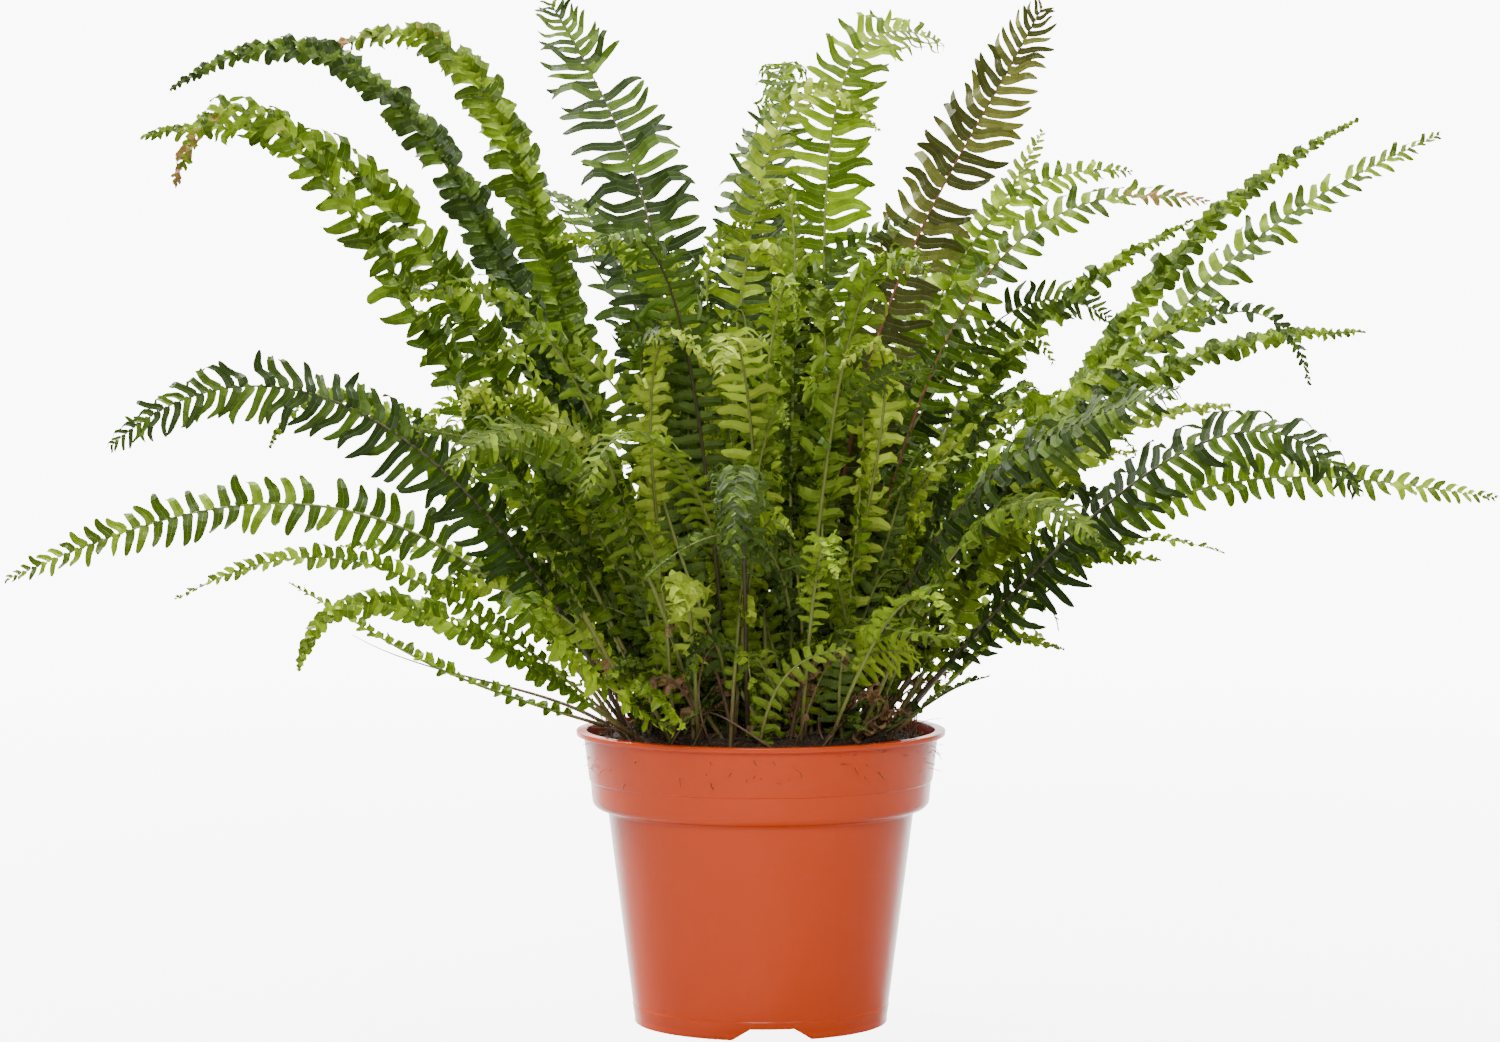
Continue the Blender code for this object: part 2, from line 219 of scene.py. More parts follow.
def rounded(corners):
    """The outline through (radius, height, rounding) corners, each turned into a short bend."""
    points = []
    last = len(corners) - 1
    for i, (radius, height, rounding) in enumerate(corners):
        here = Vector((radius, height))
        if i in (0, last) or rounding == 0:
            points.append(here)
            continue
        back = Vector(corners[i - 1][:2]) - here
        ahead = Vector(corners[i + 1][:2]) - here
        reach = min(rounding, 0.45 * back.length, 0.45 * ahead.length)
        start = here + back.normalized() * reach
        end = here + ahead.normalized() * reach
        for k in range(ROUNDING_STEPS + 1):
            share = k / ROUNDING_STEPS
            first = start.lerp(here, share)
            points.append(first.lerp(here.lerp(end, share), share))
    return points


def turned_mesh(name, outline, steps):
    """A closed shell: the outline of (radius, height) turned about +Z, its ends on the axis."""
    mesh = bmesh.new()
    rings = []
    for radius, height in outline:
        if radius < 1e-6:
            rings.append([mesh.verts.new((0.0, 0.0, height))])
            continue
        ring = []
        for k in range(steps):
            angle = 2 * math.pi * k / steps
            ring.append(mesh.verts.new((radius * math.cos(angle), radius * math.sin(angle), height)))
        rings.append(ring)
    for near, far in zip(rings, rings[1:]):
        for k in range(steps):
            around = (near[k % len(near)], near[(k + 1) % len(near)])
            around += (far[(k + 1) % len(far)], far[k % len(far)])
            mesh.faces.new(list(dict.fromkeys(around)))
    bmesh.ops.recalc_face_normals(mesh, faces=mesh.faces)
    data = bpy.data.meshes.new(name)
    mesh.to_mesh(data)
    mesh.free()
    return data


def add_piece(name, data):
    made = bpy.data.objects.new(name, data)
    bpy.context.scene.collection.objects.link(made)
    return made


def applied(piece):
    """Turns the piece's modifiers into a plain mesh."""
    piece.data = bpy.data.meshes.new_from_object(
        piece.evaluated_get(bpy.context.evaluated_depsgraph_get())
    )
    piece.modifiers.clear()
    return piece


def cut_away(piece, name, corners, sides, turn):
    """Cuts out a prism: sides corners under and as many above, moved and turned into place."""
    data = bpy.data.meshes.new(name)
    around = range(sides)
    faces = [tuple(around)[::-1], tuple(sides + k for k in around)]
    faces += [(k, (k + 1) % sides, sides + (k + 1) % sides, sides + k) for k in around]
    data.from_pydata([turn(corner) for corner in corners], [], faces)
    cutter = add_piece(name, data)
    boolean = piece.modifiers.new(name, "BOOLEAN")
    boolean.operation = "DIFFERENCE"
    boolean.solver = "EXACT"
    boolean.object = cutter
    return cutter


def heading(bearing):
    angle = math.radians(bearing)
    return Vector((math.cos(angle), math.sin(angle), 0.0))


def notch_corners():
    """Eight corners of a notch, wider at the foot than at its top."""
    ends = ((-NOTCH_HEIGHT * 0.2, NOTCH_FOOT_WIDTH * 0.55), (NOTCH_HEIGHT, NOTCH_TOP_WIDTH * 0.5))
    deep = NOTCH_DEPTH / 2
    corners = ((-deep, -1), (deep, -1), (deep, 1), (-deep, 1))
    return [(depth, side * reach, z) for z, reach in ends for depth, side in corners]


def drain_corners():
    places = [heading(360 * k / DRAIN_STEPS) * DRAIN_RADIUS for k in range(DRAIN_STEPS)]
    ends = (FLOOR_UNDER - CUTTER_OVERLAP, FLOOR_TOP + CUTTER_OVERLAP)
    return [(place.x, place.y, end) for end in ends for place in places]


def terracotta_plastic():
    finish = Finish("terracotta_plastic_moulded")
    flow = finish.noise(finish.stretched(14, 14, 5), 1.0, 3.0, 0.6)
    speck = finish.noise(finish.place, 900, 2.0, 0.6)
    scuffs = finish.noise(finish.stretched(18, 18, 900), 1.0, 4.0, 0.7)
    height = finish.xyz(finish.place)[2]
    colour = finish.mix(flow, (0.54, 0.050, 0.007), (0.60, 0.060, 0.009))
    colour = finish.mix(finish.step(speck, 0.62, 0.78, 0.0, 0.18), colour, (0.36, 0.030, 0.004))
    dust = finish.noise(finish.stretched(60, 60, 35), 1.0, 5.0, 0.7)
    near_rim = finish.step(height, 0.118, 0.136)
    dusty = finish.step(dust, 0.52, 0.74, 0.0, 0.35) * near_rim
    colour = finish.mix(dusty, colour, (0.22, 0.085, 0.040))
    rough = finish.step(scuffs, 0.45, 0.75, 0.19, 0.24) + dusty * 0.4
    relief = finish.bump(scuffs, 0.00002, 0.25)
    relief = finish.bump(finish.noise(finish.place, 30, 1.0), 0.0006, 0.25, relief)
    finish.set(Base_Color=colour, Roughness=rough, Normal=relief)
    finish.set(IOR=1.34)
    return finish.material


pot = add_piece("pot", turned_mesh("pot", rounded(POT_CORNERS), POT_STEPS))
cutters = []
for bearing in NOTCH_BEARINGS:
    middle = heading(bearing) * FOOT_RING_RADIUS
    along, across = heading(bearing), heading(bearing + 90)
    cutters.append(cut_away(
        pot, f"foot_notch_{bearing}", notch_corners(), 4,
        lambda c, m=middle, a=along, b=across: m + a * c[0] + b * c[1] + Vector((0, 0, c[2])),
    ))
drain_places = [Vector()] + [heading(360 * k / DRAIN_COUNT) * DRAIN_RING for k in range(DRAIN_COUNT)]
for k, place in enumerate(drain_places):
    cutters.append(cut_away(
        pot, f"drain_{k}", drain_corners(), DRAIN_STEPS, lambda c, p=place: p + Vector(c)
    ))
applied(pot)
for cutter in cutters:
    bpy.data.objects.remove(cutter, do_unlink=True)
pot.data.shade_smooth()
pot.data.set_sharp_from_angle(angle=math.radians(38))
pot.data.materials.clear()
pot.data.materials.append(terracotta_plastic())
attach(pot, "root")
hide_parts("nursery_pot")


# ---------------------------------------------------------------------------------------
# Root ball
# Dark peat bound by the fern's own roots. It fills the pot to just under the rim, rises a
# little where the fronds stand, and has crumbs and broken rootlets loose on its top.
# ---------------------------------------------------------------------------------------
SOIL_EDGE_RADIUS = 0.0792
SOIL_EDGE_Z = 0.1275
SOIL_MIDDLE_Z = 0.1365
SOIL_RINGS = 26
SOIL_STEPS = 96
SOIL_SIDE = [(0.0776, 0.1130), (0.0759, 0.1028), (0.0687, 0.0993), (0.0566, 0.0080), (0.0, 0.0080)]
LITTER_FROM_Z = 0.1262
LITTER_FULL_Z = 0.1268
CRUMB_SPACING = 0.0021
CRUMB_SIZE = 0.0011
ROOTLET_SPACING = 0.0042
ROOTLET_LENGTH = 0.013
ROOTLET_RADIUS = 0.00016


class GeometryBench(Bench):
    """A Geometry Nodes tree's bench, with the tree's named inputs."""

    def __init__(self, name, inputs):
        super().__init__(bpy.data.node_groups.new(name, "GeometryNodeTree"))
        self.tree.interface.new_socket("Geometry", in_out="INPUT", socket_type="NodeSocketGeometry")
        self.tree.interface.new_socket("Geometry", in_out="OUTPUT", socket_type="NodeSocketGeometry")
        for label, kind in inputs:
            socket = f"NodeSocket{kind}"
            self.tree.interface.new_socket(label, in_out="INPUT", socket_type=socket)
        self.inlet = self.tree.nodes.new("NodeGroupInput")
        self.outlet = self.tree.nodes.new("NodeGroupOutput")
        self.index = self.result("GeometryNodeInputIndex")
        self.position = self.result("GeometryNodeInputPosition")

    def given(self, label):
        return self.out(self.inlet, label)

    def random(self, low, high, salt):
        """A random number for each element, the same on every run for the same seed."""
        kind = "FLOAT_VECTOR" if isinstance(low, tuple) else "FLOAT"
        made = self.node("FunctionNodeRandomValue", data_type=kind)
        live = [socket for socket in made.inputs if socket.enabled]
        self.feed(live[0], low)
        self.feed(live[1], high)
        self.feed(made.inputs["Seed"], self.given("Seed") + salt)
        return Amount(self, next(socket for socket in made.outputs if socket.enabled))

    def carry(self, geometry, **fields):
        """Keeps the fields' values on the geometry's points, through instances and changes."""
        made = self.node("GeometryNodeCaptureAttribute", {"Geometry": geometry})
        for name, field in fields.items():
            kind = "VECTOR" if holds_vector(field) else "FLOAT"
            made.capture_items.new(kind, name)
            self.feed(made.inputs[name], field)
        return self.out(made, "Geometry"), [self.out(made, name) for name in fields]

    def store(self, geometry, name, vector):
        sockets = {"Geometry": geometry, "Name": name}
        kind = "GeometryNodeStoreNamedAttribute"
        made = self.node(kind, sockets, data_type="FLOAT_VECTOR", domain="POINT")
        self.feed(next(s for s in made.inputs if s.name == "Value" and s.enabled), vector)
        return self.out(made)

    def vector(self, x, y, z):
        return self.result("ShaderNodeCombineXYZ", {"X": x, "Y": y, "Z": z})

    def realised(self, points, shape, **sockets):
        """A copy of the shape on each point, as real geometry."""
        laid = {"Points": points, "Instance": shape, **sockets}
        copies = self.result("GeometryNodeInstanceOnPoints", laid)
        return self.result("GeometryNodeRealizeInstances", {"Geometry": copies})

    def coated(self, geometry, label):
        sockets = {"Geometry": geometry, "Material": self.given(label)}
        return self.result("GeometryNodeSetMaterial", sockets)

    def moved(self, geometry, **sockets):
        return self.result("GeometryNodeSetPosition", {"Geometry": geometry, **sockets})

    def join(self, *geometries):
        made = self.node("GeometryNodeJoinGeometry")
        for geometry in geometries:
            self.tree.links.new(geometry.socket, made.inputs[0])
        return self.out(made)

    def finished(self, geometry):
        self.feed(self.outlet.inputs[0], geometry)
        return self.tree


def from_tree(name, base, tree, values):
    """A piece made by a Geometry Nodes tree on a base mesh, left as a plain mesh."""
    piece = add_piece(name, base)
    modifier = piece.modifiers.new("Form", "NODES")
    modifier.node_group = tree
    for item in tree.interface.items_tree:
        if item.in_out == "INPUT" and item.name in values:
            modifier[item.identifier] = values[item.name]
    return applied(piece)


def root_ball_mesh():
    outline = []
    for i in range(SOIL_RINGS + 1):
        share = i / SOIL_RINGS
        height = SOIL_MIDDLE_Z + (SOIL_EDGE_Z - SOIL_MIDDLE_Z) * share**4
        outline.append((SOIL_EDGE_RADIUS * share, height))
    data = turned_mesh("root_ball", outline + SOIL_SIDE, SOIL_STEPS)
    for vertex in data.vertices:
        if vertex.co.z < SOIL_EDGE_Z - 0.0005:
            continue
        inward = min(1.0, 12 * (1 - vertex.co.xy.length / SOIL_EDGE_RADIUS))
        clods = noise.noise(vertex.co * 120) * 0.0018 + noise.noise(vertex.co * 380) * 0.0009
        vertex.co.z += (clods + 0.0004) * inward
    data.shade_smooth()
    return data


def scattered(bench):
    """Points spread evenly over the top of the soil."""
    height = bench.xyz(bench.position)[2]
    return bench.result("GeometryNodeDistributePointsOnFaces", {
        "Mesh": bench.given("Geometry"), "Distance Min": bench.given("Spacing"),
        "Density Max": 500000.0, "Seed": bench.given("Seed"),
        "Density Factor": bench.step(height, LITTER_FROM_Z, LITTER_FULL_Z),
    }, distribute_method="POISSON")


def crumb_tree():
    bench = GeometryBench("peat_crumbs", [
        ("Spacing", "Float"), ("Size", "Float"), ("Seed", "Int"), ("Finish", "Material"),
    ])
    sockets = {"Radius": bench.given("Size"), "Subdivisions": 1}
    crumb = bench.result("GeometryNodeMeshIcoSphere", sockets)
    size = bench.random(0.35, 1.0, 2)
    real = bench.realised(
        scattered(bench), crumb, Rotation=bench.random((0.0, 0.0, 0.0), (6.28, 6.28, 6.28), 1),
        Scale=bench.vector(size, size * bench.random(0.5, 1.0, 3), size * 0.6),
    )
    return bench.finished(bench.coated(real, "Finish"))


def rootlet_tree():
    bench = GeometryBench("peat_rootlets", [
        ("Spacing", "Float"), ("Length", "Float"), ("Thickness", "Float"), ("Seed", "Int"),
        ("Finish", "Material"),
    ])
    length = bench.given("Length")
    wisp = bench.result("GeometryNodeCurvePrimitiveBezierSegment", {
        "Resolution": 6, "Start": bench.vector(length * -0.5, 0.0, length * -0.06),
        "Start Handle": bench.vector(length * -0.2, length * 0.25, length * 0.22),
        "End Handle": bench.vector(length * 0.1, length * -0.3, length * 0.2),
        "End": bench.vector(length * 0.5, length * 0.05, length * 0.10),
    })
    sockets = {"Resolution": 3, "Radius": bench.given("Thickness")}
    ring = bench.result("GeometryNodeCurvePrimitiveCircle", sockets)
    thread = bench.result("GeometryNodeCurveToMesh", {
        "Curve": wisp, "Profile Curve": ring, "Fill Caps": True,
    })
    real = bench.realised(
        scattered(bench), thread, Rotation=bench.random((-0.35, -0.5, 0.0), (0.35, 0.5, 6.28), 1),
        Scale=bench.random((0.35, 0.35, 0.35), (1.0, 1.3, 1.3), 2),
    )
    return bench.finished(bench.coated(real, "Finish"))


def peat(name, dark, light):
    finish = Finish(name)
    clods = finish.noise(finish.place, 220, 4.0, 0.7)
    fibres = finish.noise(finish.stretched(500, 2200, 900), 1.0, 2.0, 0.6)
    colour = finish.mix(finish.step(clods, 0.35, 0.7), dark, light)
    colour = finish.mix(finish.step(fibres, 0.62, 0.8, 0.0, 0.6), colour, (0.17, 0.095, 0.050))
    relief = finish.bump(finish.noise(finish.place, 900, 4.0, 0.7), 0.0006, 0.9)
    finish.set(Base_Color=colour, Roughness=0.92, Normal=relief)
    return finish.material


root_ball = add_piece("root_ball", root_ball_mesh())
root_ball.data.materials.append(peat("peat_damp", (0.016, 0.009, 0.005), (0.050, 0.030, 0.017)))
crumbs = from_tree("peat_crumbs", root_ball.data.copy(), crumb_tree(), {
    "Spacing": CRUMB_SPACING, "Size": CRUMB_SIZE, "Seed": 11,
    "Finish": peat("peat_crumb", (0.022, 0.012, 0.007), (0.085, 0.050, 0.028)),
})
rootlets = from_tree("peat_rootlets", root_ball.data.copy(), rootlet_tree(), {
    "Spacing": ROOTLET_SPACING, "Length": ROOTLET_LENGTH, "Thickness": ROOTLET_RADIUS, "Seed": 5,
    "Finish": peat("rootlet_dry", (0.060, 0.028, 0.012), (0.20, 0.115, 0.055)),
})
for piece in (root_ball, crumbs, rootlets):
    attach(piece, "root")
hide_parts("potting_soil")


# ---------------------------------------------------------------------------------------
# Fronds
# Each frond is a wiry stipe that runs on as the midrib of a long blade, with soft leaflets
# set alternately along both sides. They grow straight out of the root ball and arch over.
# ---------------------------------------------------------------------------------------
LEAFLET_SIDES = 8
LONG_LEAFLET = 0.012
LEAFLET_THICKNESS = 0.00012
LEAFLET_LEAST_WIDTH = 0.0034
LEAFLET_WIDTH_SHARE = 0.145
LEAST_SPACING = 0.0055
SPACING_SHARE = 0.08
STEM_LEAST_RADIUS = 0.0008
STEM_RADIUS_SHARE = 0.012
# Graphs of (share of the way, height): the leaflets' lengths along a slim and a full blade,
# their widths along the blade, and one leaflet's half width from its joint to its tip.
SLIM_TAPER = [
    (0.0, 0.55), (0.10, 0.84), (0.28, 1.0), (0.58, 0.95), (0.80, 0.66), (0.93, 0.36), (1.0, 0.12),
]
FULL_TAPER = [
    (0.0, 0.60), (0.08, 0.86), (0.22, 1.0), (0.70, 0.97), (0.88, 0.78), (0.96, 0.50), (1.0, 0.20),
]
WIDTH_TAPER = [(0.0, 0.85), (0.30, 1.0), (0.70, 0.88), (0.90, 0.58), (1.0, 0.25)]
LEAFLET_OUTLINE = [
    (0.0, 0.58), (0.05, 0.90), (0.14, 1.0), (0.50, 0.91), (0.80, 0.74), (0.93, 0.50), (1.0, 0.20),
]
STEM_TAPER = [(0.0, 1.0), (0.04, 0.80), (0.25, 0.60), (0.7, 0.42), (1.0, 0.14)]
TIP_CROWDING = 1.22
ROLL_SHARE = 0.40
STIPE_FOOT_SINK = 0.004

FROND_INPUTS = [(label, "Vector") for label in ("Root", "Leaving", "Arriving", "Tip")] + [
    (label, "Float") for label in (
        "Roll", "Bare share", "Leaflet length", "Leaflet width", "Spacing", "Forward", "Lift",
        "Droop", "Wave", "Fold", "Ruffle", "Twist", "Unevenness", "Missing", "Stem radius", "Full",
    )
] + [("Rings", "Int"), ("Seed", "Int"), ("Leaf finish", "Material"), ("Stem finish", "Material")]


def graph(bench, value, points):
    """Reads a graph, given as (place, height) points, at the value."""
    made = bench.node("ShaderNodeFloatCurve", {"Value": value})
    line = made.mapping.curves[0]
    for place in points[1:-1]:
        line.points.new(*place)
    line.points[0].location = points[0]
    line.points[len(points) - 1].location = points[-1]
    made.mapping.update()
    return bench.out(made)


def frond_spine_nodes(bench):
    """The arch from root to tip, and the same arch as it really grew, a little crooked."""
    arch = bench.result("GeometryNodeCurvePrimitiveBezierSegment", {
        "Resolution": 48, "Start": bench.given("Root"), "Start Handle": bench.given("Leaving"),
        "End Handle": bench.given("Arriving"), "End": bench.given("Tip"),
    })
    along = bench.result("GeometryNodeSplineParameter", key="Factor")
    drift = bench.result("ShaderNodeTexNoise", {
        "Vector": bench.position, "W": bench.given("Seed") * 3.7, "Scale": 12.0, "Detail": 1.0,
    }, "Color", noise_dimensions="4D")
    return arch, bench.moved(arch, Offset=(drift - (0.5, 0.5, 0.5)) * (along * 0.016))


def sampled(bench, curve, factor, key):
    sockets = {"Curves": curve, "Factor": factor}
    return bench.result("GeometryNodeSampleCurve", sockets, key, mode="FACTOR")


def stem_nodes(bench, grown):
    """The stipe and midrib, thick and scaly at the foot and a thread at the tip."""
    along = bench.result("GeometryNodeSplineParameter", key="Factor")
    grown, (kept,) = bench.carry(grown, Along=along)
    ring = bench.result("GeometryNodeCurvePrimitiveCircle", {"Resolution": 6, "Radius": 1.0})
    stem = bench.result("GeometryNodeCurveToMesh", {
        "Curve": grown, "Profile Curve": ring, "Fill Caps": True,
        "Scale": graph(bench, kept, STEM_TAPER) * bench.given("Stem radius"),
    })
    stem = bench.store(stem, "leaf_place", bench.vector(0.0, 0.0, kept))
    stem = bench.store(stem, "leaf_tone", bench.vector(0.5, 1.0, 0.5))
    return bench.coated(stem, "Stem finish")


def leaflet_seats(bench, arch, grown):
    """Points where leaflets join the midrib, in turn on one side and the other."""
    length = bench.result("GeometryNodeCurveLength", {"Curve": grown})
    bare = bench.given("Bare share")
    pairs = bench.calc("FLOOR", length * (1.0 - bare) * TIP_CROWDING / bench.given("Spacing"))
    seats = bench.result("GeometryNodeMeshLine", {"Count": pairs * 2.0})
    pair = bench.calc("FLOOR", bench.index / 2.0)
    parity = bench.index - pair * 2.0
    left = bench.calc("SUBTRACT", 1.0, (pair + parity * 0.5) / pairs)
    share = 1.0 - bench.calc("POWER", left, TIP_CROWDING)
    along = bare + (1.0 - bare) * share
    place = sampled(bench, grown, along, "Position")
    ahead = sampled(bench, arch, along, "Tangent")
    level = bench.calc("NORMALIZE", bench.calc("CROSS_PRODUCT", ahead, (0.0, 0.0, 1.0)))
    above = bench.calc("CROSS_PRODUCT", level, ahead)
    roll = bench.given("Roll") * bench.calc("MINIMUM", along / ROLL_SHARE, 1.0)
    sine, cosine = bench.calc("SINE", roll), bench.calc("COSINE", roll)
    side = level * cosine - above * sine
    over = above * cosine + level * sine
    return bench.carry(
        bench.moved(seats, Position=place), Seat=place, Outward=side * (1.0 - parity * 2.0),
        Ahead=ahead, Above=over, Share=share,
        Chance=bench.random((0.0, 0.0, 0.0), (1.0, 1.0, 1.0), 1),
    )


def leaflet_form(bench, form, seat, outward, ahead, above, share, chance):
    """Where a point of a leaflet lies, from its place on the leaflet and the leaflet's seat."""
    u, w, v = bench.xyz(form)
    v = v + 0.5
    eased = 0.5 - bench.calc("COSINE", v * math.pi) * 0.5
    v = v * 0.35 + eased * 0.65
    chance_a, chance_b, chance_c = bench.xyz(chance)
    swing_a, swing_b = chance_a * 2.0 - 1.0, chance_b * 2.0 - 1.0
    swing_c = chance_c * 2.0 - 1.0
    uneven = bench.given("Unevenness")

    slim, full = graph(bench, share, SLIM_TAPER), graph(bench, share, FULL_TAPER)
    taper = slim + (full - slim) * bench.given("Full")
    length = bench.given("Leaflet length") * taper * (chance_a * 0.2 + 0.88)
    widest = bench.given("Leaflet width") * 0.5 * graph(bench, share, WIDTH_TAPER)
    half = widest * (chance_c * 0.2 + 0.9)

    forward = bench.given("Forward") + share * share * share * 0.75 + swing_b * uneven * 0.35
    out_way = outward * bench.calc("COSINE", forward) + ahead * bench.calc("SINE", forward)
    tip_way = ahead * bench.calc("COSINE", forward) - outward * bench.calc("SINE", forward)

    lift = bench.given("Lift") + swing_c * uneven
    droop = bench.given("Droop") * (chance_b * 0.8 + 0.6)
    wave = bench.given("Wave") * (chance_c * 0.8 + 0.6)
    phase = v * 6.0 + chance_a * 6.28
    sine, cosine = bench.calc("SINE", phase), bench.calc("COSINE", phase)
    chord = lift - droop * v * 0.5 + wave * sine
    slope = lift - droop * v + wave * (sine + cosine * v * 6.0)
    run = length * v * (1.0 - droop * droop * v * v / 24.0)
    centre = seat + out_way * (run * bench.calc("COSINE", chord))
    centre = centre + above * (run * bench.calc("SINE", chord))
    sway = wave * bench.calc("SINE", v * 4.5 + chance_c * 6.28) * 0.6
    centre = centre + tip_way * (length * v * (v * 0.10 + sway))

    normal = above * bench.calc("COSINE", slope) - out_way * bench.calc("SINE", slope)
    twist = bench.given("Twist") * swing_a * v
    turn, keep = bench.calc("SINE", twist), bench.calc("COSINE", twist)
    across = tip_way * keep + normal * turn
    up = normal * keep - tip_way * turn

    ear = bench.calc("MAXIMUM", u, 0.0) * bench.calc("MAXIMUM", 1.0 - v * 5.5, 0.0) * 0.65
    reach = half * graph(bench, v, LEAFLET_OUTLINE) * (ear + 1.0)
    fold = bench.given("Fold") * (chance_b * 0.8 + 0.6)
    edge = bench.calc("ABSOLUTE", u)
    hem = bench.calc("SINE", v * 11.0 + u * 1.3 + chance_b * 6.28) * u * u * bench.given("Ruffle")
    raised = edge * bench.calc("SINE", fold) + hem
    point = centre + across * (reach * u * bench.calc("COSINE", fold)) + up * (reach * raised)
    return point + up * (w * LEAFLET_THICKNESS), v, u, w


def frond_tree():
    bench = GeometryBench("fern_frond", FROND_INPUTS)
    arch, grown = frond_spine_nodes(bench)
    stem = stem_nodes(bench, grown)
    seats, fields = leaflet_seats(bench, arch, grown)
    lost = bench.calc("LESS_THAN", bench.random(0.0, 1.0, 7), bench.given("Missing"))
    sockets = {"Geometry": seats, "Selection": lost}
    seats = bench.result("GeometryNodeDeleteGeometry", sockets)

    tube = bench.result("GeometryNodeMeshCylinder", {
        "Vertices": LEAFLET_SIDES, "Side Segments": bench.given("Rings"), "Radius": 1.0, "Depth": 1.0,
    })
    blank, (form,) = bench.carry(tube, Form=bench.position)
    real = bench.realised(seats, blank)
    point, v, u, w = leaflet_form(bench, form, *fields)
    share, chance = fields[4], bench.xyz(fields[5])
    leaves = bench.moved(real, Position=point)
    leaves = bench.store(leaves, "leaf_place", bench.vector(v, u, share))
    leaves = bench.store(leaves, "leaf_tone", bench.vector(chance[1], w, chance[2]))
    rim = bench.calc("GREATER_THAN", bench.calc("ABSOLUTE", u), 0.9)
    sockets = {"Geometry": leaves, "Selection": rim, "Shade Smooth": False}
    leaves = bench.result("GeometryNodeSetShadeSmooth", sockets, domain="EDGE")
    return bench.finished(bench.join(bench.coated(leaves, "Leaf finish"), stem))


def leaf_finish(name, mature, young, dry=0.12, rust=0.0):
    """A leaflet's skin: paler and yellower towards the frond's tip, a light midrib, fine
    slanting veins, a dull pale underside, and brown at the ends of some leaflets."""
    finish = Finish(name)
    v, u, share = finish.xyz(finish.attribute("leaf_place"))
    tone, side, luck = finish.xyz(finish.attribute("leaf_tone"))
    mottle = finish.noise(finish.place, 160, 3.0, 0.6)
    fine = finish.noise(finish.place, 1100, 2.0, 0.6)
    age = finish.step(share + (mottle - 0.5) * 0.5 + (tone - 0.5) * 0.3, 0.25, 0.95)
    colour = finish.mix(age, mature, young)
    dark = tuple(part * 0.40 for part in mature)
    colour = finish.mix(finish.step(tone + mottle * 0.5, 0.45, 1.3, 0.85, 0.0), colour, dark)
    edge = finish.calc("ABSOLUTE", u)
    rows = finish.calc("SINE", (v * 15.0 - edge * 2.6) * 6.28)
    veins = finish.step(rows, 0.4, 1.0, 0.0, 0.10)
    colour = finish.mix(veins, colour, young)
    pale = tuple(min(1.0, part * 1.4 + 0.03) for part in young)
    rib = finish.step(edge, 0.02, 0.10, 0.28, 0.0)
    colour = finish.mix(rib, colour, pale)
    under = finish.step(side, -0.30, 0.05, 0.45, 0.0)
    colour = finish.mix(under, colour, pale)
    wilt = finish.step(v + luck * 0.55 + mottle * 0.25, 1.62, 1.70) * finish.step(luck, 1.0 - dry, 1.0)
    wilt = wilt + finish.step(share + (mottle - 0.5) * 0.4 + luck * 0.15, 0.95, 1.05) * rust
    colour = finish.mix(wilt, colour, (0.36, 0.21, 0.060))
    relief = finish.bump(finish.step(edge, 0.0, 0.2) + rows * 0.12, 0.0003, 0.6)
    relief = finish.bump(fine, 0.00015, 0.5, relief)
    rough = finish.step(mottle, 0.3, 0.7, 0.44, 0.60) + under * 0.4
    finish.set(Base_Color=colour, Roughness=rough, Normal=relief)
    finish.set(IOR=1.25)
    through = {"Color": finish.mix(0.35, colour, young)}
    finish.feed(finish.output.inputs["Surface"], finish.result("ShaderNodeMixShader", {
        "Fac": 0.42, 1: finish.out(finish.surface), 2: finish.result("ShaderNodeBsdfTranslucent", through),
    }))
    return finish.material


def stem_finish(name, foot, blade):
    """A stipe's bark: brown papery scales at the foot, thinning out towards the blade."""
    finish = Finish(name)
    along = finish.xyz(finish.attribute("leaf_place"))[2]
    scales = finish.noise(finish.stretched(900, 900, 350), 1.0, 3.0, 0.7)
    scaly = finish.step(along + (scales - 0.5) * 0.25, 0.01, 0.16, 0.9, 0.0)
    colour = finish.mix(scaly, blade, foot)
    colour = finish.mix(finish.step(scales, 0.58, 0.72, 0.0, 0.5), colour, foot)
    finish.set(Base_Color=colour, Roughness=0.55, Normal=finish.bump(scales, 0.0004, 0.8))
    return finish.material


# Leaf greens in the order mature, young; the key is the record's material slot.
GREENS = {
    "deep_green": ((0.045, 0.084, 0.016), (0.150, 0.240, 0.024)),
    "mid_green": ((0.075, 0.145, 0.011), (0.305, 0.430, 0.024)),
    "fresh_green": ((0.128, 0.240, 0.012), (0.430, 0.570, 0.028)),
    "pale_green": ((0.260, 0.380, 0.028), (0.560, 0.670, 0.070)),
    "bronze_green": ((0.110, 0.125, 0.026), (0.270, 0.280, 0.060)),
}
LEAF_FINISHES = {slot: leaf_finish(f"leaf_{slot}", *pair) for slot, pair in GREENS.items()}
RUSTY = leaf_finish("leaf_rusty_tipped", *GREENS["mid_green"], 0.25, 1.0)
RUSTY_LEAVES = {"left_top_4": RUSTY, "left_top_2": RUSTY, "crown_9": RUSTY}
WITHERED = leaf_finish("leaf_withered", (0.220, 0.115, 0.045), (0.420, 0.250, 0.110), 0.5)
STEM_GREEN = stem_finish("stem_green", (0.120, 0.070, 0.024), (0.200, 0.230, 0.045))
STEM_DARK = stem_finish("stem_dark_olive", (0.050, 0.028, 0.012), (0.060, 0.050, 0.016))
STEM_BROWN = stem_finish("stem_red_brown", (0.09, 0.035, 0.016), (0.180, 0.060, 0.025))
STEM_DRY = stem_finish("stem_dry", (0.060, 0.032, 0.016), (0.150, 0.085, 0.045))

